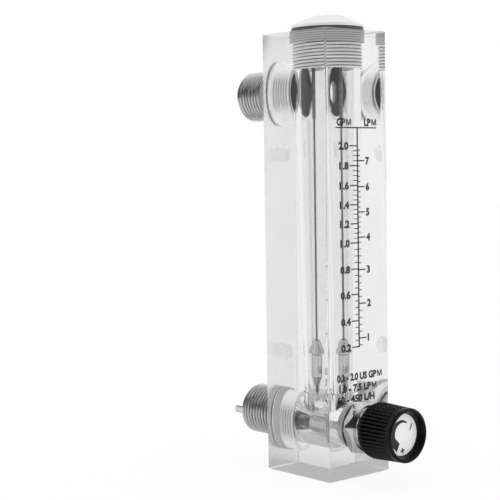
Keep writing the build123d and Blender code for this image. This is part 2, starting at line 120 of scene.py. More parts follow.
# Holes in the block: radii, depths and heights
tail_radius = 12.3
plug_thread_radius = 10.9
plug_seat_radius = 12.0
plug_seat_depth = 4.6
plug_seat = block_height - plug_seat_depth
plug_hole_rest = 3.7
plug_hole_end = plug_low[2] - plug_hole_rest
outlet_chamber_radius = 10.0
outlet_throat_radius = 8.4
shade_radius = 9.8
bore_top_radius = 9.7
bore_bottom_radius = 6.4
seat_disc_thickness = 2.8
chamber_cone = 1.4
inlet_chamber_radius = 9.0
bonnet_radius = 8.75
bonnet_depth = 7.4
bonnet_end = front_face + bonnet_depth
recess_radius = 3.1
recess_depth = 6.6
recess_mouth = 0.5
low_recess_rise = 28.2
high_recess_drop = 25.0
recess_heights = (inlet_height + low_recess_rise, outlet_height - high_recess_drop)

# Rear fittings
port_radius = 10.48
port_bore_radius = 7.48
outlet_bore_radius = 5.0
lug_radius = 1.45
lug_chamfer = 0.4
port_chamfer = 1.2
neck_depth = 1.2
neck_length = 2.2
neck_end = back_face + neck_length + neck_depth
gasket_width = 2.6
gasket_edge = 0.1
lap_radius = collar_radius - gasket_width
collar_edge = 0.55
collar_length = 1.0
tail_chamfer = 0.3
cup_radius = 10.5
cup_depth = 6.0
upper_thread_start = 28.6
seat_bore_radius = 4.2
seat_chamfer = 1.2
seat_web = 4.5

# Top plug
dome_rise = 4.6
dome_slot_width = 1.4
dome_slot_depth = 1.6
rod_grip = 6.0
ring_width = 1.5

# Valve bonnet
hex_flat = 10.2
hex_side = 60.0
hex_length = 4.0
hex_turn = 10.0
hex_face_inset = 0.8
hex_back_outset = 0.6
hex_chamfer_rise = 1.1
neck_radius = 5.6
nose_step = 2.35
bonnet_chamfer = 0.8
spindle_hole = 3.05

# Knob
knob_ribs = 44
knob_rib_fade = 1.0
knob_radius = 11.4
knob_back_radius = 10.8
knob_front_radius = 10.8
knob_groove_floor = 10.35
knob_lip = 0.6
knob_rim_wall = 0.9
knob_rim_chamfer = 0.2
knob_recess_taper = 0.9
knob_smooth_front = 1.7
knob_skirt = 2.0
knob_hollow_depth = 4.0
knob_boss_radius = 5.4
knob_seat_radius = 2.2
screw_head_radius = 2.9
screw_head_room = 2.3

# Float
float_flutes = 8
float_flute_radius = 0.6
float_body_radius = 4.1
float_tail_radius = 2.1
float_tail_length = 3.2
float_body_length = 9.6
float_neck = 0.35
float_rim = 0.5
float_top_radius = 2.5
float_hole_gap = 0.25

# Print on the front face: where it stands out, its strokes and its places
print_gap = 0.02
print_thickness = 0.03
print_near = front_face - print_gap - print_thickness
print_far = front_face - print_gap
scale_line_x = (-0.39, 0.15)
scale_foot = 0.3
header_line = (-11.9, 11.1, 141.0)
header_stroke = 0.5
scale_stroke = 0.75
major_stroke = 0.5
minor_stroke = 0.36
major_reach = 4.05
minor_reach = 2.0
litre_reach_more = 0.2
letter_height = 2.75
low_letter_height = 2.7
letter_weight = 0.052
letter_extrude = 0.5
capital_share = 0.7
gallon_number_gap = 0.5
gallon_number_stretch = 1.12
digit_reach = 3.15
one_reach = 4.45
litre_number_gap = 0.9

# Scale: heights of the gallon numbers, and each side's first and last tick, step and count to a long one
gallon_steps = (0.2, 0.4, 0.6, 0.8, 1.0, 1.2, 1.4, 1.6, 1.8, 2.0)
gallon_heights = (53.1, 63.6, 74.3, 84.5, 95.0, 102.7, 110.3, 118.0, 125.9, 133.8)
litres_per_gallon = 3.785
gallon_ticks = (4, 40, 0.05, 4)
litre_ticks = (4, 37, 0.2, 5)

# Units and ranges: text, left end, height, letter height, stretch, and whether a drawn M ends it
unit_prints = (
    ("GP", -11.3, 143.2, letter_height, 0.95, True),
    ("LP", 4.1, 143.2, letter_height, 0.95, True),
    ("0.2 - 2.0 US GP", -12.6, 41.2, low_letter_height, 0.92, True),
    ("1.0 - 7.5 LP", -11.4, 36.7, low_letter_height, 1.05, True),
    ("60 - 450 L/H", -12.6, 32.3, low_letter_height, 1.08, False),
)

# A drawn M, as shares of its height: space before it, post, slant over post, notch, shoulder and foot
m_space = 0.16
m_post = 0.17
m_slant = 1.3
m_notch = 0.32
m_shoulder = 0.62
m_foot = 0.02

# Print on the cap: the arrow's angles, its edges as start, growth and power, its head, and bars
arrow_angles = (58, 196)
arrow_outer = (5.2, 1.9, 0.8)
arrow_inner = (4.85, -0.75, 1.3)
arrow_head = ((-7.9, -2.2), (-3.2, -6.5), (-1.6, -3.3))
minus_bar = ((4.9, 2.5), 2.95, 0.55, 61.0)
plus_bar = ((0.05, -6.35), 2.3, 0.6)
plus_turns = (15.0, 105.0)
cross_lift = 0.01


# Meshes

def to_mesh(name, points, faces, smooth_angle=50.0):
    """A mesh in metres from points in millimetres, smooth but for edges sharper than the angle.

    Doubled points are merged and the faces of a closed form are turned outwards.
    """
    mesh = bpy.data.meshes.new(name)
    mesh.from_pydata((np.asarray(points, float) * MM).tolist(), [], np.asarray(faces).tolist())
    form = bmesh.new()
    form.from_mesh(mesh)
    bmesh.ops.remove_doubles(form, verts=form.verts, dist=1e-7)
    bmesh.ops.recalc_face_normals(form, faces=form.faces)
    form.to_mesh(mesh)
    form.free()
    mesh.shade_smooth()
    mesh.set_sharp_from_angle(angle=math.radians(smooth_angle))
    return mesh


def grid_faces(rows, columns, wrap_rows=False):
    """Quads of a grid whose columns close on themselves, and its rows too where that is asked."""
    down = np.arange(rows if wrap_rows else rows - 1)[:, None]
    along = np.arange(columns)[None, :]
    below = (down + 1) % rows
    beside = (along + 1) % columns
    quads = (down * columns + along, down * columns + beside, below * columns + beside,
             below * columns + along)
    return np.stack(np.broadcast_arrays(*quads), axis=-1).reshape(-1, 4)


def corners(*places, depth=0.0):
    """Profile rows of radius, place along the axis, depth of pattern and pitch."""
    rows = np.ones((len(places), 4))
    rows[:, :2] = places
    rows[:, 2] = depth
    return rows


def curve_rows(radius, place):
    """Plain profile rows along a curve, from its radii and its places along the axis."""
    return corners(*np.stack([radius, place], axis=1))


def thread_rows(radius, start, end, thread, steps=12):
    """Profile rows of a thread: equal steps along the axis, its depth faded in over half a pitch."""
    pitch, depth = thread
    count = max(int(abs(end - start) / pitch * steps), 2)
    place = np.linspace(start, end, count)
    fade = np.clip(np.minimum(np.abs(place - start), np.abs(end - place)) / (pitch / 2), 0, 1)
    return np.stack([np.full(count, radius), place, depth * fade, np.full(count, pitch)], axis=1)


def soften(rows, reach=corner_reach, steps=3, closed=True):
    """Rounds a profile's plain corners: each becomes a short curve that starts and ends near it."""
    result = []
    count = len(rows)
    for index, here in enumerate(rows):
        before = rows[index - 1]
        after = rows[(index + 1) % count]
        spans = [np.linalg.norm(other[:2] - here[:2]) for other in (before, after)]
        at_end = not closed and index in (0, count - 1)
        patterned = here[2] > 0 or before[2] > 0 or after[2] > 0
        if at_end or patterned or here[0] == 0 or min(spans) < 1e-6:
            result.append(here)
            continue
        pull = [min(reach, span * corner_share) / span for span in spans]
        first = here + (before - here) * pull[0]
        last = here + (after - here) * pull[1]
        for share in np.linspace(0, 1, steps + 1):
            result.append(first * (1 - share) ** 2 + here * 2 * share * (1 - share) + last * share**2)
    return np.array(result)


def threads(rows, turn):
    """Share of the depth: a wave of (place / pitch - turn), which runs as a right-hand helix."""
    return 0.5 - 0.5 * np.cos(TURN * (rows[:, 1:2] / rows[:, 3:4] - turn))


def ribs(rows, turn):
    """Share of the depth for round-topped ribs with sharp grooves: 1 - |sin(half a rib's turn)|."""
    share = 1 - np.abs(np.sin(math.pi * knob_ribs * turn))
    return np.broadcast_to(share, (len(rows), len(turn)))


def flutes(rows, turn):
    """Share of the depth for round flutes: sqrt(1 - (arc from the nearest flute / its radius) squared)."""
    from_flute = np.abs((turn * float_flutes + 0.5) % 1 - 0.5) / float_flutes * TURN
    arc = from_flute[None, :] * rows[:, 0:1] / float_flute_radius
    return np.sqrt(np.clip(1 - arc**2, 0, 1))


def turned(name, rows, height=None, segments=96, closed=True, pattern=threads, smooth_angle=50.0, aside=0.0):
    """A turned form on a level axis at that height and place aside, or on the bore's axis without a height.

    The radius is the profile's less its depth times the pattern's share at that turn.
    """
    turn = np.arange(segments) / segments
    radius = rows[:, 0:1] - rows[:, 2:3] * pattern(rows, turn)
    across = radius * np.cos(TURN * turn)
    up = radius * np.sin(TURN * turn)
    place = np.repeat(rows[:, 1:2], segments, axis=1)
    if height is None:
        points = np.stack([across, up + bore_y, place], axis=-1)
    else:
        points = np.stack([across + aside, place, up + height], axis=-1)
    faces = grid_faces(len(rows), segments, closed)
    return to_mesh(name, points.reshape(-1, 3), faces, smooth_angle)


def box_mesh(name, low, high, bevel=0.0):
    """A box between two corners in millimetres, its edges bevelled where that is asked."""
    low, high = np.array(low, float), np.array(high, float)
    form = bmesh.new()
    middle = Matrix.Translation(Vector((high + low) / 2 * MM))
    bmesh.ops.create_cube(form, size=1, matrix=middle @ Matrix.Diagonal((*((high - low) * MM), 1)))
    if bevel:
        bmesh.ops.bevel(form, geom=form.edges, offset=bevel * MM, segments=3, profile=0.5, affect="EDGES")
    mesh = bpy.data.meshes.new(name)
    form.to_mesh(mesh)
    form.free()
    return mesh


def joined(name, parts):
    """A mesh of several forms, each given as points in millimetres and faces."""
    points, faces, count = [], [], 0
    for part, part_faces in parts:
        points.append(part)
        faces.extend([corner + count for corner in face] for face in part_faces)
        count += len(part)
    mesh = bpy.data.meshes.new(name)
    mesh.from_pydata((np.concatenate(points) * MM).tolist(), [], faces)
    return mesh


# Objects

def placed(name, data):
    """An object with that data, at the origin of the scene."""
    item = bpy.data.objects.new(name, data)
    bpy.context.scene.collection.objects.link(item)
    return item


def evaluated_mesh(item):
    """The mesh that an object's modifiers or letters come to."""
    bpy.context.view_layer.update()
    return bpy.data.meshes.new_from_object(item.evaluated_get(bpy.context.evaluated_depsgraph_get()))


def piece(mesh, material, body, replaced=()):
    """An object at the origin that rides on a body and takes a slot's finish."""
    item = placed(mesh.name, mesh)
    mesh.materials.clear()
    mesh.materials.append(material)
    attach(item, body)
    if replaced:
        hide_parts(*replaced)


def cut(mesh, cutters):
    """The mesh less the closed forms, by exact Boolean."""
    body = placed(mesh.name, mesh)
    tools = []
    for cutter in cutters:
        tool = placed(cutter.name, cutter)
        step = body.modifiers.new(cutter.name, "BOOLEAN")
        step.object = tool
        step.operation = "DIFFERENCE"
        step.solver = "EXACT"
        tools.append(tool)
    result = evaluated_mesh(body)
    result.name = mesh.name
    for item in [*tools, body]:
        bpy.data.objects.remove(item)
    result.shade_smooth()
    result.set_sharp_from_angle(angle=math.radians(cut_smooth_angle))
    return result


# Nodes

def feed(tree, socket, value):
    """Links a socket to another one or gives it a number, which is a grey where it takes a colour."""
    if not isinstance(value, (int, float)):
        tree.links.new(value, socket)
    elif socket.type == "RGBA":
        socket.default_value = (value, value, value, 1)
    else:
        socket.default_value = value


def fill(tree, sockets, values):
    """Feeds named sockets."""
    for label, value in values.items():
        feed(tree, sockets[label], value)


def math_node(tree, operation, first, second=0.0):
    """A math node fed by sockets or plain values."""
    node = tree.nodes.new("ShaderNodeMath")
    node.operation = operation
    for socket, value in zip(node.inputs, (first, second)):
        feed(tree, socket, value)
    return node.outputs[0]


def times(tree, first, second):
    """Two values multiplied."""
    return math_node(tree, "MULTIPLY", first, second)


def larger(tree, first, second):
    """The larger of two values."""
    return math_node(tree, "MAXIMUM", first, second)


def minus(tree, first, second):
    """The first value less the second."""
    return math_node(tree, "SUBTRACT", first, second)


def above(tree, value, limit):
    """1 where the value is more than the limit, else 0."""
    return math_node(tree, "GREATER_THAN", value, limit)


def under(tree, value, limit):
    """1 where the value is less than the limit, else 0."""
    return math_node(tree, "LESS_THAN", value, limit)


def between(tree, value, start, end):
    """1 where the value lies between two limits, else 0."""
    return times(tree, above(tree, value, start), under(tree, value, end))


def spread(tree, value, low, high, start=0.3, end=0.7):
    """The value's range from start to end mapped to another range."""
    node = tree.nodes.new("ShaderNodeMapRange")
    limits = {"From Min": start, "From Max": end, "To Min": low, "To Max": high}
    fill(tree, node.inputs, {"Value": value, **limits})
    return node.outputs["Result"]


def mixed(tree, factor, first, second):
    """A mix of two tones, each a socket or a number, by a socket."""
    node = tree.nodes.new("ShaderNodeMix")
    node.data_type = "RGBA"
    fill(tree, node.inputs, {"Factor": factor, "A": first, "B": second})
    return node.outputs["Result"]


def object_place(tree):
    """The object's coordinates in metres, as three sockets: across, along and rise."""
    place = tree.nodes.new("ShaderNodeTexCoord")
    parts = tree.nodes.new("ShaderNodeSeparateXYZ")
    tree.links.new(place.outputs["Object"], parts.inputs["Vector"])
    return tuple(parts.outputs)


# Shared effects: how far their masks reach past a shape or stop short of it, and their radii

mask_past = 0.1
mask_short = 0.05
collar_rise = 0.2
bore_mask_radius = 7.7
cup_mask_radius = 10.7
cup_mask_rest = 0.6
# Share of painted shade on the upper fitting's plain neck
plain_neck_shade = 0.6
grain_detail = 2.0


def effect(name, inputs, outputs):
    """An empty node group with named sockets, as its tree, its given values and its results."""
    tree = bpy.data.node_groups.new(name, "ShaderNodeTree")
    for label, value in inputs.items():
        socket = tree.interface.new_socket(name=label, in_out="INPUT", socket_type="NodeSocketFloat")
        socket.default_value = value
    for label in outputs:
        tree.interface.new_socket(name=label, in_out="OUTPUT", socket_type="NodeSocketFloat")
    given = tree.nodes.new("NodeGroupInput")
    result = tree.nodes.new("NodeGroupOutput")
    return tree, given.outputs, result.inputs


def from_axis(tree, across, other, middle):
    """Square of the distance from an axis: across squared + (other - its middle in millimetres) squared."""
    offset = minus(tree, other, middle * MM)
    return math_node(tree, "ADD", times(tree, offset, offset), times(tree, across, across))


def from_fitting(tree, across, rise):
    """Square of the distance from the nearer fitting's axis."""
    squares = [from_axis(tree, across, rise, height) for height in (inlet_height, outlet_height)]
    return math_node(tree, "MINIMUM", *squares)


def upper_half(tree, rise):
    """1 in the upper half of the block's height, else 0."""
    return above(tree, rise, block_height / 2 * MM)


def grain_effect():
    """Noise over the object's coordinates, as Value."""
    tree, given, result = effect("grain", {"Scale": 500.0}, ["Value"])
    place = tree.nodes.new("ShaderNodeTexCoord")
    noise = tree.nodes.new("ShaderNodeTexNoise")
    fill(tree, noise.inputs, {"Vector": place.outputs["Object"], "Scale": given["Scale"],
                              "Detail": grain_detail})
    fill(tree, result, {"Value": noise.outputs["Fac"]})
    return tree


def turning_effect():
    """Fine rings round a level axis: noise over the place along Y alone, as Value."""
    tree, given, result = effect("turning_marks", {"Scale": 900.0}, ["Value"])
    noise = tree.nodes.new("ShaderNodeTexNoise")
    noise.noise_dimensions = "1D"
    fill(tree, noise.inputs, {"W": object_place(tree)[1], "Scale": given["Scale"]})
    fill(tree, result, {"Value": noise.outputs["Fac"]})
    return tree


def tail_effect():
    """1 on the threaded tails in the block, between two places along Y, else 0, as Mask."""
    tree, _, result = effect("tail_mask", {}, ["Mask"])
    along = object_place(tree)[1]
    mask = between(tree, along, (tail_end - mask_past) * MM, (back_face - mask_past) * MM)
    fill(tree, result, {"Mask": mask})
    return tree


def bore_effect():
    """1 in the fittings' bores and the upper one's wide inner end, by distance from an axis, as Mask."""
    tree, _, result = effect("bore_mask", {}, ["Mask"])
    across, along, rise = object_place(tree)
    distance = math_node(tree, "SQRT", from_fitting(tree, across, rise))
    bore = under(tree, distance, bore_mask_radius * MM)
    cup = under(tree, distance, cup_mask_radius * MM)
    inner = times(tree, under(tree, along, (back_face - cup_mask_rest) * MM), upper_half(tree, rise))
    fill(tree, result, {"Mask": larger(tree, bore, times(tree, cup, inner))})
    return tree


def cut_thread_effect():
    """1 on the tapped walls of the plug's and the bonnet's hole, by distance from each axis, as Mask."""
    tree, _, result = effect("cut_thread_mask", {}, ["Mask"])
    across, along, rise = object_place(tree)
    from_bore = from_axis(tree, across, along, bore_y)
    from_inlet = from_axis(tree, across, rise, inlet_height)
    holes = [
        (from_bore, plug_thread_radius, plug_thread[1], rise, plug_hole_end, plug_seat),
        (from_inlet, bonnet_radius, bonnet_thread[1], along, front_face, bonnet_end),
    ]
    masks = []
    for square, radius, depth, way, start, end in holes:
        distance = math_node(tree, "SQRT", square)
        low, high = radius - depth - mask_past, radius + hole_gap + mask_past
        wall = between(tree, distance, low * MM, high * MM)
        length = between(tree, way, (start + mask_short) * MM, (end - mask_short) * MM)
        masks.append(times(tree, wall, length))
    fill(tree, result, {"Mask": larger(tree, *masks)})
    return tree


def thread_line_effect():
    """1 along a thin helix round the bore's axis, by place over pitch less turn, else 0, as Mask."""
    tree, given, result = effect("thread_lines", {"Share": 0.3, "Pitch": plug_thread[0] * MM}, ["Mask"])
    across, along, rise = object_place(tree)
    angle = math_node(tree, "ARCTAN2", minus(tree, along, bore_y * MM), across)
    turn = math_node(tree, "DIVIDE", angle, TURN)
    phase = minus(tree, math_node(tree, "DIVIDE", rise, given["Pitch"]), turn)
    fill(tree, result, {"Mask": under(tree, math_node(tree, "FRACT", phase), given["Share"])})
    return tree


def root_effect():
    """Marks on the fittings' outsides.

    Value is the depth below a thread's crest over its full depth, and a fixed share on the upper fitting's
    plain neck, which darkens it as painted shade. Collar is 1 on the collars, and Edge on their rear edges.
    Side is the height off the axis over the tail's radius. Upper is 1 on the upper fitting.
    """
    tree, _, result = effect("thread_roots", {}, ["Value", "Collar", "Edge", "Side", "Upper"])
    across, along, rise = object_place(tree)
    square = from_fitting(tree, across, rise)
    distance = math_node(tree, "SQRT", square)
    height = math_node(tree, "SQRT", minus(tree, square, times(tree, across, across)))
    outside = above(tree, along, back_face * MM)
    crest = math_node(tree, "ADD", times(tree, outside, (port_radius - tail_radius) * MM), tail_radius * MM)
    share = math_node(tree, "DIVIDE", minus(tree, crest, distance), port_thread[1] * MM)
    share = larger(tree, math_node(tree, "MINIMUM", share, 1.0), 0.0)
    upper = upper_half(tree, rise)
    # The upper fitting's plain neck takes a share of the roots' painted shade.
    plain = times(tree, between(tree, along, back_face * MM, upper_thread_start * MM), upper)
    collar = above(tree, distance, (tail_radius + collar_rise) * MM)
    fill(tree, result, {
        "Value": larger(tree, share, times(tree, plain, plain_neck_shade)),
        "Collar": collar,
        "Edge": times(tree, collar, above(tree, along, (back_face - collar_edge) * MM)),
        "Side": math_node(tree, "DIVIDE", height, tail_radius * MM),
        "Upper": upper,
    })
    return tree


grain_group = grain_effect()
cut_thread_group = cut_thread_effect()
thread_line_group = thread_line_effect()
root_group = root_effect()
bore_group = bore_effect()
turning_group = turning_effect()
tail_group = tail_effect()


# Materials: scales of grain, and tones from 0 for black to 1 for white

acrylic_grain = 60.0
acrylic_index = 1.49
cut_thread_roughness = 0.35
seal_grain = 300.0
seal_low = 0.9
seal_roughness = (0.3, 0.5)
seal_painted_glow = 0.3
seal_edge = 0.16
seat_pitch = 0.9
turning_scale = 900.0
rim_shade_fade = (0.3, 0.85)
# Tone of the painted shade in the fittings' thread roots
thread_root_shade = 0.07
root_fade = (0.15, 0.9)
outlet_bore_shade = 0.04
inlet_bore_shade = 0.16
# Seal tape on the tails: its whiteness partly a painted reflection, dark painted shade in its roots, and a
# painted glow
tape_tone = 0.98
tape_root_shade = 0.4
tape_side_light_fade = (0.35, 0.75)
tape_shine = 0.3
tape_roughness = 0.4
tape_painted_glow = 0.14
plastic_grain = 900.0


def new_material(name):
    """A material with its tree and its shader."""
    material = bpy.data.materials.new(name)
    material.use_nodes = True
    return material, material.node_tree, material.node_tree.nodes["Principled BSDF"]


def use_group(tree, group, **values):
    """The outputs of a shared effect."""
    node = tree.nodes.new("ShaderNodeGroup")
    node.node_tree = group
    fill(tree, node.inputs, values)
    return node.outputs


def toned(tree, noise, dark, light):
    """A tone that a noise moves between dark and light."""
    return mixed(tree, spread(tree, noise, 0, 1), dark, light)


def clear_acrylic(name, dark, light, clearness=1.0, matt=0.0):
    """Clear plastic with a faint unevenness of tone, frosted in its tapped holes and matt where asked."""
    material, tree, shader = new_material(name)
    noise = use_group(tree, grain_group, Scale=acrylic_grain)["Value"]
    mask = use_group(tree, cut_thread_group)["Mask"]
    fill(tree, shader.inputs, {
        "Base Color": toned(tree, noise, dark, light),
        "Roughness": spread(tree, mask, matt, cut_thread_roughness, 0, 1),
        "IOR": acrylic_index,
        "Transmission Weight": clearness,
    })
    return material


def sealed_thread(name, pale, line, pitch, share, glow):
    """Thread in pale sealant with a painted glow, whose roots show as a dark helix of painted shade."""
    material, tree, shader = new_material(name)
    noise = use_group(tree, grain_group, Scale=seal_grain)["Value"]
    lines = use_group(tree, thread_line_group, Share=share, Pitch=pitch * MM)["Mask"]
    fill(tree, shader.inputs, {
        # Dark helix lines of painted shade; the glow of painted light is cut off along them.
        "Base Color": mixed(tree, lines, toned(tree, noise, pale * seal_low, pale), line),
        "Roughness": spread(tree, noise, *seal_roughness),
        "Emission Color": mixed(tree, lines, glow, 0.0),
        "Emission Strength": 1.0,
    })
    return material


def metal(name, dark, light, roughness, mottle=0.0, rim=None):
    """Metal with turning marks, or mottled at a scale, and with a rim tone where it turns away if given, a
    painted reflection of darker surroundings.
    """
    material, tree, shader = new_material(name)
    group, scale = (grain_group, mottle) if mottle else (turning_group, turning_scale)
    noise = use_group(tree, group, Scale=scale)["Value"]
    colour = toned(tree, noise, dark, light)
    # Rim tone towards the grazing edges: painted reflection.
    if rim is not None:
        facing = tree.nodes.new("ShaderNodeLayerWeight").outputs["Facing"]
        colour = mixed(tree, spread(tree, facing, 0, 1, *rim_shade_fade), colour, rim)
    fill(tree, shader.inputs, {
        "Base Color": colour,
        "Roughness": spread(tree, noise, *roughness),
        "Metallic": 1.0,
    })
    return material


def taped_metal(name, dark, light, roughness):
    """Turned metal with painted shade inside its bores and thread roots, whose tail in the block is wrapped
    in pale seal tape, partly a painted reflection, with a painted glow.
    """
    material, tree, shader = new_material(name)
    noise = use_group(tree, turning_group, Scale=turning_scale)["Value"]
    tail = use_group(tree, tail_group)["Mask"]
    bore = use_group(tree, bore_group)["Mask"]
    marks = use_group(tree, root_group)
    roots = spread(tree, marks["Value"], 0, 1, *root_fade)
    # Side fades the painted root shade out and raises the painted glow towards the tail's top and bottom.
    side = spread(tree, marks["Side"], 0, 1, *tape_side_light_fade)
    taped = times(tree, tail, minus(tree, 1.0, bore))
    # Bare steel darkens into its thread roots as painted shade.
    bare = mixed(tree, roots, toned(tree, noise, dark, light), thread_root_shade)
    # Pale tape, partly a painted reflection, with painted shade lines in its roots that fade towards the top
    # and bottom.
    wrapped = mixed(tree, times(tree, roots, minus(tree, 1.0, side)), tape_tone, tape_root_shade)
    wrapped = mixed(tree, marks["Edge"], wrapped, seal_edge)
    # Painted shade inside the bores: near black in the outlet, dark grey in the inlet.
    inside = mixed(tree, marks["Upper"], inlet_bore_shade, outlet_bore_shade)
    # Painted glow: strongest on the collars and towards the tail's top and bottom, none in the roots or on
    # the rear edges.
    glow = mixed(tree, larger(tree, marks["Collar"], side), mixed(tree, roots, tape_painted_glow, 0.0), seal_painted_glow)
    glow = mixed(tree, marks["Edge"], glow, 0.0)
    tape_rough = spread(tree, taped, 0, tape_roughness, 0, 1)
    fill(tree, shader.inputs, {
        "Base Color": mixed(tree, bore, mixed(tree, tail, bare, wrapped), inside),
        "Metallic": spread(tree, taped, 1, tape_shine, 0, 1),
        "Roughness": larger(tree, spread(tree, noise, *roughness), tape_rough),
        "Emission Color": mixed(tree, taped, 0.0, glow),
        "Emission Strength": 1.0,
    })
    return material


def plastic(name, dark, light, roughness, shine=0.5, glow=0.0, within=False):
    """Plastic, rubber or paint with a fine grain in tone and gloss, and a glow of painted light, all over or
    only within.
    """
    material, tree, shader = new_material(name)
    noise = use_group(tree, grain_group, Scale=plastic_grain)["Value"]
    strength = 1.0 if glow else 0.0
    if within:
        inner = tree.nodes.new("ShaderNodeNewGeometry").outputs["Backfacing"]
        glow = mixed(tree, inner, 0.0, glow)
    fill(tree, shader.inputs, {
        "Base Color": toned(tree, noise, dark, light),
        "Roughness": spread(tree, noise, *roughness),
        "Specular IOR Level": shine,
        "Emission Color": glow,
        "Emission Strength": strength,
    })
    return material


acrylic = clear_acrylic("clear_acrylic", 0.84, 0.88)
# The back face: matt, and tinted lighter than the rest of the acrylic as painted light.
back_acrylic = clear_acrylic("back_acrylic", 0.93, 0.97, matt=0.28)
dome_acrylic = clear_acrylic("dome_acrylic", 0.97, 1.0, clearness=0.25)
# Tapped walls: pale sealant with a painted glow, and a dark helix of painted shade along the thread.
thread_seal = sealed_thread("thread_seal", 0.92, 0.12, plug_thread[0], share=0.36, glow=0.2)
# The plug's seat band: grey, with a fainter painted glow and a helix of painted shade lines.
seat_seal = sealed_thread("seat_seal", 0.7, 0.42, seat_pitch, share=0.4, glow=0.1)
port_steel = taped_metal("port_steel", 0.56, 0.76, (0.22, 0.36))
steel = metal("turned_steel", 0.42, 0.52, (0.2, 0.34))
rod_steel = metal("rod_steel", 0.17, 0.22, (0.25, 0.35), mottle=300.0)
# The float's dark rim where it turns away is a painted reflection.
float_steel = metal("float_steel", 0.62, 0.72, (0.08, 0.14), mottle=300.0, rim=0.1)
nickel = metal("nickel_plate", 0.5, 0.66, (0.08, 0.16), mottle=400.0)
black_rubber = plastic("black_rubber", 0.012, 0.022, (0.5, 0.7))
# The grey rubber ring has a faint painted glow.
grey_rubber = plastic("grey_rubber", 0.62, 0.7, (0.5, 0.7), glow=0.1)
ring_rubber = plastic("ring_rubber", 0.06, 0.09, (0.4, 0.6))
# A black sheet of painted shade on the outlet's throat.
throat_shade = plastic("throat_shade", 0.01, 0.02, (0.5, 0.7), shine=0.2)
# Frosted step faces in the tail holes, with a painted glow.
frosted = plastic("frosted_acrylic_painted_glow", 0.93, 0.97, (0.5, 0.7), glow=0.2)
# The recesses' frosted walls, with a painted glow seen only through the plastic.
drill_frost_painted_glow = plastic("drilled_acrylic_painted_glow", 0.62, 0.72, (0.3, 0.5), glow=0.46, within=True)
# The white seal has a painted glow.
white_seal = plastic("white_seal", 0.93, 0.97, (0.5, 0.7), glow=seal_painted_glow)
black_knob = plastic("black_knob", 0.001, 0.002, (0.24, 0.36), shine=0.15)
white_cap = plastic("white_cap", 0.96, 0.99, (0.4, 0.5))
black_print = plastic("black_print", 0.008, 0.014, (0.45, 0.6))

finishes = {
    "clear_acrylic": acrylic,
    "stainless_steel": steel,
    "nickel_plate": nickel,
    "black_rubber": black_rubber,
    "grey_rubber": grey_rubber,
    "white_seal": white_seal,
    "black_knob": black_knob,
    "white_cap": white_cap,
}
own_finishes = {"guide_rod": rod_steel, "float_stop": rod_steel, "outlet_fitting": port_steel,
                "inlet_fitting": port_steel}
for entry in frame["record"]["subparts"]:
    node = frame["nodes"][entry["node"]]
    node.data.materials.clear()
    node.data.materials.append(own_finishes.get(entry["node"], finishes[entry["material_slot"]]))


# Clear block, and how near to a plane a face counts as lying in it

in_plane = 0.01
square_on = 0.9999
wall_reach = 1.0


def hole_cutters():
    """Closed forms of the block's holes: the bore from above, the inlet, the outlet and two recesses.

    Each is a profile turned round its axis. A recess has a quarter circle round its floor.
    """
    tail_hole = tail_radius - contact
    collar_hole = collar_radius - contact
    tail_step = tail_end + contact
    bonnet_hole = bonnet_radius + hole_gap
    plug_hole = plug_thread_radius - contact
    seat_counterbore = plug_seat_radius - contact
    chamber_floor = stop_low[2]
    seat_hole = (seat_high[0] - seat_low[0]) / 2 + hole_gap
    seat_ledge = seat_low[2] + seat_disc_thickness
    inlet_step = inlet_gasket_front + contact
    outlet_step = outlet_gasket_front + contact
    behind = back_face + past
    overhead = block_height + past
    upright = np.concatenate([
        corners((0, inlet_height), (seat_hole, inlet_height), (seat_hole, seat_ledge),
                (bore_bottom_radius, seat_ledge), (bore_top_radius, chamber_floor - chamber_cone),
                (outlet_chamber_radius, chamber_floor), (outlet_chamber_radius, plug_hole_end),
                (plug_hole, plug_hole_end)),
        thread_rows(plug_hole, plug_hole_end, plug_seat, plug_thread),
        corners((seat_counterbore, plug_seat), (seat_counterbore, overhead), (0, overhead)),
    ])
    inlet = np.concatenate([
        corners((0, front_face - past), (bonnet_hole, front_face - past)),
        thread_rows(bonnet_hole, front_face, bonnet_end, bonnet_thread),
        corners((inlet_chamber_radius, bonnet_end), (inlet_chamber_radius, tail_step),
                (cup_radius, tail_step), (tail_hole, tail_step)),
        thread_rows(tail_hole, tail_step, inlet_step, tail_thread),
        corners((collar_hole, inlet_step), (collar_hole, behind), (0, behind)),
    ])
    outlet = np.concatenate([
        corners((0, bore_y), (outlet_throat_radius, bore_y), (outlet_throat_radius, tail_step),
                (shade_radius, tail_step), (tail_hole, tail_step)),
        thread_rows(tail_hole, tail_step, outlet_step, tail_thread),
        corners((collar_hole, outlet_step), (collar_hole, behind), (0, behind)),
    ])
    swing = np.linspace(-math.pi / 2, 0, 10)
    floor_place = back_face - recess_depth + (1 + np.sin(swing)) * recess_radius
    mouth = recess_radius + recess_mouth
    recess = np.concatenate([
        curve_rows(np.cos(swing) * recess_radius, floor_place),
        corners((recess_radius, back_face - recess_mouth), (mouth, back_face), (mouth, behind), (0, behind)),
    ])
    return [
        turned("bore_cutter", upright, closed=False),
        turned("inlet_cutter", inlet, inlet_height, closed=False),
        turned("outlet_cutter", outlet, outlet_height, closed=False),
        *(turned("recess_cutter", recess, height, closed=False) for height in recess_heights),
    ]


def face_values(mesh, label):
    """A vector of each of a mesh's faces."""
    values = np.empty(len(mesh.polygons) * 3, dtype=np.float32)
    mesh.polygons.foreach_get(label, values)
    return values.reshape(-1, 3)


def finish_faces(mesh, parts):
    """Gives faces a material of their own: pairs of a material and a row of yes or no for each face."""
    index = np.zeros(len(mesh.polygons), dtype=np.int32)
    for count, (material, chosen) in enumerate(parts, 1):
        mesh.materials.append(material)
        index[chosen] = count
    mesh.polygons.foreach_set("material_index", index)


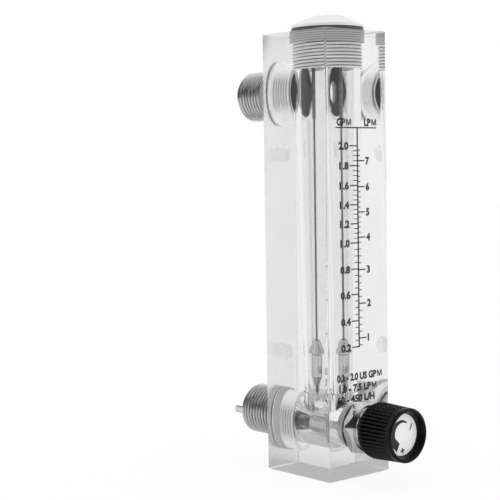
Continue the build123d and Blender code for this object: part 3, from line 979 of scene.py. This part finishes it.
def flatten_outer_faces(mesh):
    """Flat shading on the faces in one of the block's six planes, so that they refract as planes do."""
    normals = face_values(mesh, "normal")
    centres = face_values(mesh, "center") / MM
    along = np.abs(normals).argmax(axis=1)
    rows = np.arange(len(normals))
    square = np.abs(normals[rows, along]) > square_on
    planes = np.where(normals[rows, along] > 0, block_high[along], block_low[along])
    outer = square & (np.abs(centres[rows, along] - planes) < in_plane)
    mesh.polygons.foreach_set("use_smooth", ~outer)


def clear_block():
    """The block's bevelled box less its turned holes, with black painted shade in the outlet's throat,
    frosted holes with a painted glow, and a matt back face tinted lighter as painted light.
    """
    mesh = cut(box_mesh("block_body", block_low, block_high, block_bevel), hole_cutters())
    flatten_outer_faces(mesh)
    piece(mesh, acrylic, "block", ["meter_block"])
    across, along, rise = (face_values(mesh, "center") / MM).T
    from_bore = np.hypot(across, along - bore_y)
    from_outlet = np.hypot(across, rise - outlet_height)
    from_inlet = np.hypot(across, rise - inlet_height)
    tapped = np.abs(from_bore - plug_thread_radius) < wall_reach
    tapped &= (rise > plug_hole_end) & (rise < plug_seat)
    # The outlet's throat takes the black painted shade.
    throat = (from_outlet < shade_radius) & (along > 0) & (along < tail_end + mask_past)
    throat &= from_bore > outlet_chamber_radius + mask_past
    # Step faces outside the shade radius take the frosted finish with its painted glow.
    step = np.minimum(from_outlet, from_inlet) > shade_radius
    step &= np.abs(along - tail_end - contact) < in_plane
    from_recess = np.min([np.hypot(across, rise - height) for height in recess_heights], axis=0)
    rear = along > back_face - in_plane
    drilled = (from_recess < recess_radius + recess_mouth) & (along > back_face - recess_depth - mask_past)
    drilled &= along < back_face - in_plane
    finish_faces(mesh, [(thread_seal, tapped), (throat_shade, throat), (frosted, step),
                        (drill_frost_painted_glow, drilled), (back_acrylic, rear)])


def domed_plug():
    """The plug's turned profile with a spherical dome, less its coin slot and the rod's socket.

    The sphere's radius is (dome radius squared + rise squared) / (twice the rise).
    """
    lap = dome_radius - ring_width
    shank_end = block_height + print_gap
    dome_top = plug_high[2]
    curve = (dome_radius**2 + dome_rise**2) / (2 * dome_rise)
    angles = np.linspace(math.asin(dome_radius / curve), 0, 24)
    rows = np.concatenate([
        corners((0, plug_low[2]), (plug_thread_radius, plug_low[2])),
        thread_rows(plug_thread_radius, plug_low[2], plug_seat, plug_thread),
        corners((plug_thread_radius, plug_seat), (plug_seat_radius, plug_seat), (plug_seat_radius, shank_end),
                (lap, shank_end), (lap, ring_top), (dome_radius, ring_top)),
        curve_rows(curve * np.sin(angles), dome_top - curve * (1 - np.cos(angles))),
    ])
    body = turned("plug_body", rows, closed=False, smooth_angle=40.0)
    half = dome_slot_width / 2
    slot = box_mesh("slot_cutter", (-half, bore_y - dome_radius - past, dome_top - dome_slot_depth),
                    (half, bore_y + dome_radius + past, dome_top + past))
    socket_radius = rod_radius + print_gap
    socket_end = plug_low[2] + rod_grip + print_gap
    socket_rows = corners((0, plug_low[2] - past), (socket_radius, plug_low[2] - past),
                          (socket_radius, socket_end), (0, socket_end))
    socket = turned("socket_cutter", socket_rows, segments=32, closed=False)
    mesh = cut(body, [slot, socket])
    piece(mesh, acrylic, "block", ["top_plug"])
    across, along, rise = (face_values(mesh, "center") / MM).T
    from_bore = np.hypot(across, along - bore_y)
    thread = (rise > plug_low[2]) & (rise < plug_seat) & (from_bore > plug_thread_radius - wall_reach)
    seat = (rise >= plug_seat) & (rise < block_height) & (from_bore > plug_thread_radius)
    dome = rise > ring_top + print_gap
    finish_faces(mesh, [(dome_acrylic, dome), (thread_seal, thread), (seat_seal, seat)])


# Rings and gaskets, a hair clear of the plastic that they touch

def upright_ring():
    """The ring under the dome, with a round outer edge."""
    inner = dome_radius - ring_width + print_gap
    low, high = block_height + 2 * print_gap, ring_top - print_gap
    swing = np.linspace(-math.pi / 2, math.pi / 2, 9)
    half = (high - low) / 2
    rows = np.concatenate([
        corners((inner, low)),
        curve_rows(dome_radius - half + half * np.cos(swing), low + half + half * np.sin(swing)),
        corners((inner, high)),
    ])
    piece(turned("dome_ring", rows), ring_rubber, "block", ["plug_ring"])


def level_ring(name, node, inner, material, height):
    """A flat gasket on a level axis."""
    low, high = box_mm(node)
    outer = (high[0] - low[0]) / 2
    near, far = low[1] + print_gap, high[1] - print_gap
    rows = soften(corners((inner, near), (outer, near), (outer, far), (inner, far)), gasket_edge)
    piece(turned(name, rows, height), material, "block", [node])


def rings():
    """The four soft rings of the block and its fittings."""
    upright_ring()
    level_ring("outlet_seal", "outlet_gasket", lap_radius, white_seal, outlet_height)
    level_ring("inlet_seal", "inlet_gasket", lap_radius, grey_rubber, inlet_height)
    level_ring("bonnet_seal", "bonnet_gasket", bonnet_radius, black_rubber, inlet_height)


# Fittings

def fitting(name, height, gasket_front, thread_start, bore_radius, inside, node):
    """A steel tube with threads on its tail and its port, and the given inner profile."""
    collar_face = back_face - collar_length
    neck = port_radius - neck_depth
    tail_start = tail_end + tail_chamfer
    rows = np.concatenate([
        corners((cup_radius, tail_end), (tail_radius - tail_chamfer, tail_end), (tail_radius, tail_start)),
        thread_rows(tail_radius, tail_start, gasket_front, tail_thread),
        corners((tail_radius, gasket_front), (lap_radius, gasket_front), (lap_radius, collar_face),
                (collar_radius, collar_face), (collar_radius, back_face), (neck, back_face),
                (neck, back_face + neck_length), (port_radius, neck_end)),
        thread_rows(port_radius, thread_start, port_end - port_chamfer / 2, port_thread),
        corners((port_radius - port_chamfer, port_end), (bore_radius, port_end)),
        inside,
    ])
    piece(turned(name, soften(rows), height, segments=128), port_steel, "block", [node])


def fittings():
    """The outlet above and the inlet below, which has the needle's seat inside and two lugs on its end."""
    web = tail_end + cup_depth
    fitting("outlet_tube", outlet_height, outlet_gasket_front, upper_thread_start, outlet_bore_radius,
            corners((outlet_bore_radius, web + cup_radius - outlet_bore_radius), (cup_radius, web)),
            "outlet_fitting")
    fitting("inlet_tube", inlet_height, inlet_gasket_front, neck_end, port_bore_radius,
            corners((port_bore_radius, web + seat_web), (seat_bore_radius, web + seat_web),
                    (seat_bore_radius, web + seat_chamfer), (seat_bore_radius + seat_chamfer, web),
                    (cup_radius, web)), "inlet_fitting")
    lug_start, lug_end = port_end - port_chamfer, inlet_high[1]
    lug = soften(corners((0, lug_start), (lug_radius, lug_start), (lug_radius, lug_end - lug_chamfer),
                         (lug_radius - lug_chamfer, lug_end), (0, lug_end)), closed=False)
    middle = (port_radius + port_bore_radius) / 2
    for side in (-1, 1):
        mesh = turned(f"lug_{side + 1}", lug, inlet_height, segments=32, closed=False, aside=side * middle)
        piece(mesh, port_steel, "block")


# Valve bonnet

def hexagon_radius(turn):
    """Distance from the axis to a hexagon's side: flat / cos(angle from the middle of that side)."""
    angle = (turn * 360 + hex_turn) % hex_side - hex_side / 2
    return hex_flat / np.cos(np.radians(angle))


def bonnet():
    """Hexagon with turned chamfers, a threaded shank, a nose and a neck round the spindle.

    A chamfer lies in from the hexagon's end by the rise times (the hexagon's radius - the chamfer's circle).
    """
    segments = 180
    turn = np.arange(segments) / segments
    outside = hexagon_radius(turn)
    hex_back = bonnet_gasket_front
    hex_front = hex_back - hex_length
    face = hex_flat - hex_face_inset
    back = hex_flat + hex_back_outset
    nose = bonnet_radius - nose_step
    shank = np.concatenate([
        corners((bonnet_radius, hex_back), (bonnet_radius, front_face)),
        thread_rows(bonnet_radius, front_face, bonnet_end - bonnet_chamfer, bonnet_thread),
        corners((bonnet_radius - bonnet_chamfer, bonnet_end), (nose, bonnet_end), (nose, bonnet_high[1]),
                (spindle_hole, bonnet_high[1]), (spindle_hole, bonnet_low[1]), (neck_radius, bonnet_low[1]),
                (neck_radius, hex_front)),
    ])
    shank_radius = shank[:, 0:1] - shank[:, 2:3] * threads(shank, turn)
    shank_place = np.repeat(shank[:, 1:2], segments, axis=1)
    flat = np.ones(segments)
    hex_radius = np.stack([face * flat, np.maximum(outside, face), outside, np.minimum(outside, back)])
    hex_place = np.stack([
        hex_front * flat,
        hex_front + hex_chamfer_rise * (np.maximum(outside, face) - face),
        hex_back - hex_chamfer_rise * np.maximum(outside - back, 0),
        hex_back * flat,
    ])
    radius = np.concatenate([shank_radius, hex_radius])
    place = np.concatenate([shank_place, hex_place])
    across = radius * np.cos(TURN * turn)
    up = radius * np.sin(TURN * turn) + inlet_height
    points = np.stack([across, place, up], axis=-1).reshape(-1, 3)
    mesh = to_mesh("bonnet_body", points, grid_faces(len(radius), segments, True), smooth_angle=25.0)
    piece(mesh, nickel, "block", ["valve_bonnet"])


# Knob

def ribbed_knob():
    """The knob's profile with round-topped ribs that fade out before the smooth front edge.

    The grip tapers straight from the back to the front, and its front edge is a quarter circle.
    """
    back = knob_high[1]
    front = knob_low[1]
    cap_back = cap_high[1]
    lip = knob_front_radius - knob_lip
    rim = lip - knob_rim_wall
    recess = rim - knob_recess_taper
    skirt = knob_back_radius - knob_skirt
    hollow_end = back - knob_hollow_depth
    screw_seat = cap_back + screw_head_room
    grip_start = back - knob_skirt
    grip_end = front + knob_smooth_front
    place = np.linspace(grip_start, grip_end, 24)
    share = (place - grip_start) / (front + knob_lip - grip_start)
    radius = knob_radius + (knob_front_radius - knob_radius) * share
    fade = np.clip((place - grip_end) / knob_rib_fade, 0, 1) ** 0.5
    grip = np.stack([radius, place, (radius - knob_groove_floor) * fade, np.ones(len(place))], axis=1)
    ease = np.linspace(0, math.pi / 2, 6)
    rows = np.concatenate([
        corners((skirt, back), (knob_back_radius - knob_lip / 2, back)),
        corners((knob_back_radius, back - knob_lip / 2), depth=knob_back_radius - knob_groove_floor),
        grip,
        curve_rows(lip + knob_lip * np.cos(ease), front + knob_lip * (1 - np.sin(ease))),
        corners((rim + knob_rim_chamfer, front), (rim, front + knob_rim_chamfer), (recess, cap_low[1]),
                (recess, cap_back), (screw_head_radius, cap_back), (screw_head_radius, screw_seat),
                (knob_seat_radius, screw_seat), (knob_seat_radius, back), (knob_boss_radius, back),
                (knob_boss_radius, hollow_end), (skirt, hollow_end)),
    ])
    mesh = turned("knob_body", rows, inlet_height, segments=knob_ribs * 12, pattern=ribs, smooth_angle=55.0)
    piece(mesh, black_knob, "spindle", ["knob"])


# Float

def fluted_float():
    """The float's profile with flutes in the widest edge and a short neck under it.

    Above the edge a straight cone narrows to the top, and the flutes end where it passes their floor.
    """
    bottom = float_low[2]
    top = float_high[2]
    body = bottom + float_tail_length
    shoulder = body + float_body_length
    widest = (float_high[0] - float_low[0]) / 2
    hole = rod_radius + float_hole_gap
    neck = float_body_radius - float_neck
    flute_floor = widest - float_flute_radius
    share = np.linspace(0, 1, 12)
    cone_radius = widest + (float_top_radius - widest) * share
    cone_place = shoulder + float_rim + (top - shoulder - float_rim) * share
    cone_depth = np.clip(cone_radius - flute_floor, 0, None)
    rows = np.concatenate([
        corners((hole, bottom), (float_tail_radius, bottom), (float_body_radius, body),
                (float_body_radius, shoulder - 2 * float_neck), (neck, shoulder - float_neck),
                (neck, shoulder), (flute_floor, shoulder)),
        corners((widest, shoulder), depth=float_flute_radius),
        np.stack([cone_radius, cone_place, cone_depth, np.ones(len(share))], axis=1),
        corners((hole, top)),
    ])
    mesh = turned("float_body", rows, segments=float_flutes * 24, pattern=flutes, smooth_angle=15.0)
    piece(mesh, float_steel, "float", ["meter_float"])


# Print

def prisms(low, high):
    """Boxes between rows of low and high corners, as points and faces."""
    pick = np.array([[0, 0, 0], [1, 0, 0], [1, 1, 0], [0, 1, 0], [0, 0, 1], [1, 0, 1], [1, 1, 1], [0, 1, 1]])
    sides = np.array([[0, 3, 2, 1], [4, 5, 6, 7], [0, 1, 5, 4], [1, 2, 6, 5], [2, 3, 7, 6], [3, 0, 4, 7]])
    points = low[:, None, :] + pick[None] * (high - low)[:, None, :]
    faces = np.arange(len(low))[:, None, None] * len(pick) + sides[None]
    return points.reshape(-1, 3), faces.reshape(-1, 4).tolist()


def plate(outline, near, far, height):
    """A flat shape with a closed outline of x and z in millimetres, given a thickness."""
    outline = np.asarray(outline, float)
    count = len(outline)
    front = np.stack([outline[:, 0], np.full(count, near), outline[:, 1] + height], axis=1)
    back = front.copy()
    back[:, 1] = far
    here = np.arange(count)
    ahead = (here + 1) % count
    walls = np.stack([here, ahead, ahead + count, here + count], axis=1).tolist()
    faces = [list(range(count)), list(range(2 * count - 1, count - 1, -1)), *walls]
    return np.concatenate([front, back]), faces


def bar(middle, length, width, angle):
    """Corners of a bar about its middle, turned by an angle in degrees."""
    along = np.array([math.cos(math.radians(angle)), math.sin(math.radians(angle))])
    across = np.array([-along[1], along[0]])
    signs = np.array([[-1, -1], [1, -1], [1, 1], [-1, 1]])
    return np.array(middle) + signs[:, :1] * along * length / 2 + signs[:, 1:] * across * width / 2


def lettering(text, left, middle, height, stretch=1.0, right=None):
    """Letters as points in millimetres in the front plane, set from the left or ended at the right."""
    curve = bpy.data.curves.new(text, "FONT")
    curve.body = text
    curve.size = 1.0
    curve.resolution_u = 4
    curve.extrude = letter_extrude
    curve.offset = letter_weight
    item = placed(text, curve)
    mesh = evaluated_mesh(item)
    bpy.data.objects.remove(item)
    bpy.data.curves.remove(curve)
    flat = np.empty(len(mesh.vertices) * 3, dtype=np.float32)
    mesh.vertices.foreach_get("co", flat)
    flat = flat.reshape(-1, 3).astype(float)
    faces = [tuple(polygon.vertices) for polygon in mesh.polygons]
    bpy.data.meshes.remove(mesh)
    size = height / capital_share
    flat[:, 0] = (flat[:, 0] - flat[:, 0].min()) * size * stretch
    if right is not None:
        left = right - flat[:, 0].max()
    across = left + flat[:, 0]
    up = middle + (flat[:, 1] - capital_share / 2) * size
    depth = print_far - print_thickness * (letter_extrude + flat[:, 2])
    return np.stack([across, depth, up], axis=1), faces


def letter_m(left, middle, height):
    """A capital M from its outline: two posts and a V between them."""
    post, slant = m_post * height, m_slant * m_post * height
    notch, shoulder, foot = m_notch * height, m_shoulder * height, m_foot * height
    half = height / 2
    outline = [(0, 0), (0, height), (slant, height), (half, notch), (height - slant, height),
               (height, height), (height, 0), (height - post, 0), (height - post, shoulder),
               (half + post / 2, foot), (half - post / 2, foot), (post, shoulder), (post, 0)]
    return plate(np.array(outline) + (left, -half), print_near, print_far, middle)


def unit_print(text, left, middle, height, stretch, ends_in_m):
    """Letters from the left and a drawn M after them where that is asked."""
    letters = lettering(text, left, middle, height, stretch)
    if not ends_in_m:
        return [letters]
    return [letters, letter_m(letters[0][:, 0].max() + m_space * height, middle, height)]


def scale_x(height):
    """The scale line's place across at a height."""
    low, high = gallon_heights[0], header_line[2]
    return float(np.interp(height, (low, high), (scale_line_x[1], scale_line_x[0])))


def ticks(first, last, step, long_every, values):
    """Each tick's value, its height between the scale's numbers, and whether it is a long one."""
    for count in range(first, last + 1):
        value = count * step
        yield value, float(np.interp(value, values, gallon_heights)), count % long_every == 0


def front_print():
    """Header line, scale line, ticks, numbers and units in one mesh in front of the face."""
    half = header_stroke / 2
    low_end = gallon_heights[0] - scale_foot
    foot = scale_x(low_end)
    rows = [
        (header_line[0], header_line[1], header_line[2] - half, header_line[2] + half),
        (foot - scale_stroke / 2, foot + scale_stroke / 2, low_end, header_line[2]),
    ]
    texts = []
    for gallons, height, major in ticks(*gallon_ticks, gallon_steps):
        reach, stroke = (major_reach, major_stroke) if major else (minor_reach, minor_stroke)
        middle = scale_x(height)
        rows.append((middle - reach, middle, height - stroke / 2, height + stroke / 2))
        if major:
            label = f"{gallons:.1f}"
            end = middle - major_reach - gallon_number_gap
            texts.append(lettering(label[1:], 0, height, letter_height, gallon_number_stretch, end))
            end -= one_reach if label[0] == "1" else digit_reach
            texts.append(lettering(label[0], 0, height, letter_height, gallon_number_stretch, end))
    litre_reach = major_reach + litre_reach_more
    for litres, height, major in ticks(*litre_ticks, np.array(gallon_steps) * litres_per_gallon):
        reach, stroke = (litre_reach, major_stroke) if major else (minor_reach, minor_stroke)
        middle = scale_x(height)
        rows.append((middle, middle + reach, height - stroke / 2, height + stroke / 2))
        if major:
            start = middle + major_reach + litre_number_gap
            texts.append(lettering(f"{litres:.0f}", start, height, letter_height))
    for unit in unit_prints:
        texts.extend(unit_print(*unit))
    lines = np.array(rows)
    low = np.stack([lines[:, 0], np.full(len(lines), print_near), lines[:, 2]], axis=1)
    high = np.stack([lines[:, 1], np.full(len(lines), print_far), lines[:, 3]], axis=1)
    piece(joined("front_print", [prisms(low, high), *texts]), black_print, "block")


def cap_print():
    """Minus, plus and a crescent arrow that runs anticlockwise from minus to plus.

    The radius of each of the crescent's edges is start + growth * (share of the angle) ** power.
    """
    far = cap_low[1] - print_gap
    near = far - print_thickness
    angles = np.radians(np.linspace(*arrow_angles, 40))
    share = np.linspace(0, 1, len(angles))[:, None]
    unit = np.stack([np.cos(angles), np.sin(angles)], axis=1)
    edges = (arrow_outer, arrow_inner)
    outer, inner = (unit * (start + growth * share**power) for start, growth, power in edges)
    shapes = [np.concatenate([outer, arrow_head, inner[::-1]]), bar(*minus_bar)]
    shapes.extend(bar(*plus_bar, turn) for turn in plus_turns)
    fronts = [near - cross_lift * index for index in range(len(shapes))]
    plates = [plate(shape, front, far, inlet_height) for shape, front in zip(shapes, fronts)]
    mesh = joined("cap_print", plates)
    form = bmesh.new()
    form.from_mesh(mesh)
    bmesh.ops.recalc_face_normals(form, faces=form.faces)
    form.to_mesh(mesh)
    form.free()
    piece(mesh, black_print, "spindle")


clear_block()
domed_plug()
rings()
fittings()
bonnet()
ribbed_knob()
fluted_float()
front_print()
cap_print()


# Scene: where and how far the light dims towards the camera's side, its bounces, and the floor

dim_start = 0.3
dim_full = 0.8
dim_for_mirrors = 0.96
dim_for_glass = 0.65
light_bounces = 32
glass_bounces = 28
mirror_bounces = 12
floor_reach = 3000.0
floor_grain = 40.0
floor_tones = (0.95, 0.98)
floor_roughness = 0.9
floor_glow = 0.9
floor_glow_through = 0.24


def aim_camera():
    """The camera's axes from azimuth, height angle and roll, and its place from its offset."""
    azimuth, rise = camera_azimuth, camera_height_angle
    back = np.array([math.sin(azimuth) * math.cos(rise), -math.cos(azimuth) * math.cos(rise), math.sin(rise)])
    right = np.array([math.cos(azimuth), math.sin(azimuth), 0])
    up = np.cross(back, right)
    turned_right = right * math.cos(camera_roll) + up * math.sin(camera_roll)
    turned_up = up * math.cos(camera_roll) - right * math.sin(camera_roll)
    place = turned_right * camera_offset[0] + turned_up * camera_offset[1] + back * camera_distance
    lens = bpy.data.cameras.new("camera")
    lens.sensor_width = sensor_width
    lens.lens = focal_pixels / photo_pixels * sensor_width
    lens.clip_start = clip_start
    camera = placed("camera", lens)
    axes = Matrix((turned_right, turned_up, back)).transposed().to_4x4()
    camera.matrix_world = Matrix.Translation(Vector(place * MM)) @ axes
    bpy.context.scene.camera = camera


def studio():
    """A white world, dim towards the camera's side for mirrors and glass."""
    scene = bpy.context.scene
    world = bpy.data.worlds.new("studio")
    scene.world = world
    world.use_nodes = True
    tree = world.node_tree
    place = tree.nodes.new("ShaderNodeTexCoord")
    along = tree.nodes.new("ShaderNodeVectorMath")
    along.operation = "DOT_PRODUCT"
    along.inputs[1].default_value = (math.sin(camera_azimuth), -math.cos(camera_azimuth), 0)
    tree.links.new(place.outputs["Generated"], along.inputs[0])
    lobe = tree.nodes.new("ShaderNodeMapRange")
    lobe.interpolation_type = "SMOOTHSTEP"
    fill(tree, lobe.inputs, {"Value": along.outputs["Value"], "From Min": dim_start, "From Max": dim_full})
    path = tree.nodes.new("ShaderNodeLightPath").outputs
    mirrored = times(tree, path["Is Glossy Ray"], dim_for_mirrors)
    through = times(tree, path["Is Transmission Ray"], dim_for_glass)
    amount = times(tree, lobe.outputs["Result"], larger(tree, mirrored, through))
    fill(tree, tree.nodes["Background"].inputs, {"Color": mixed(tree, amount, 1.0, 0.0), "Strength": 1.0})
    scene.view_settings.view_transform = "Standard"
    scene.cycles.max_bounces = light_bounces
    scene.cycles.transmission_bounces = glass_bounces
    scene.cycles.glossy_bounces = mirror_bounces


def floor():
    """A wide white floor that keeps a faint shadow and is white to the camera, to mirrors and to glass."""
    points = np.array([(-1, -1, 0), (1, -1, 0), (1, 1, 0), (-1, 1, 0)]) * floor_reach * MM
    mesh = bpy.data.meshes.new("floor")
    mesh.from_pydata(points.tolist(), [], [(0, 1, 2, 3)])
    item = placed("floor", mesh)
    material, tree, shader = new_material("floor")
    noise = use_group(tree, grain_group, Scale=floor_grain)["Value"]
    fill(tree, shader.inputs, {"Base Color": mixed(tree, noise, *floor_tones), "Roughness": floor_roughness})
    path = tree.nodes.new("ShaderNodeLightPath").outputs
    direct = times(tree, path["Is Camera Ray"], floor_glow)
    indirect = larger(tree, path["Is Glossy Ray"], path["Is Transmission Ray"])
    seen = larger(tree, direct, times(tree, indirect, floor_glow_through))
    glow = tree.nodes.new("ShaderNodeEmission")
    glow.inputs["Color"].default_value = (1, 1, 1, 1)
    blend = tree.nodes.new("ShaderNodeMixShader")
    tree.links.new(seen, blend.inputs["Fac"])
    tree.links.new(shader.outputs["BSDF"], blend.inputs[1])
    tree.links.new(glow.outputs["Emission"], blend.inputs[2])
    tree.links.new(blend.outputs["Shader"], tree.nodes["Material Output"].inputs["Surface"])
    mesh.materials.append(material)


aim_camera()
studio()
floor()
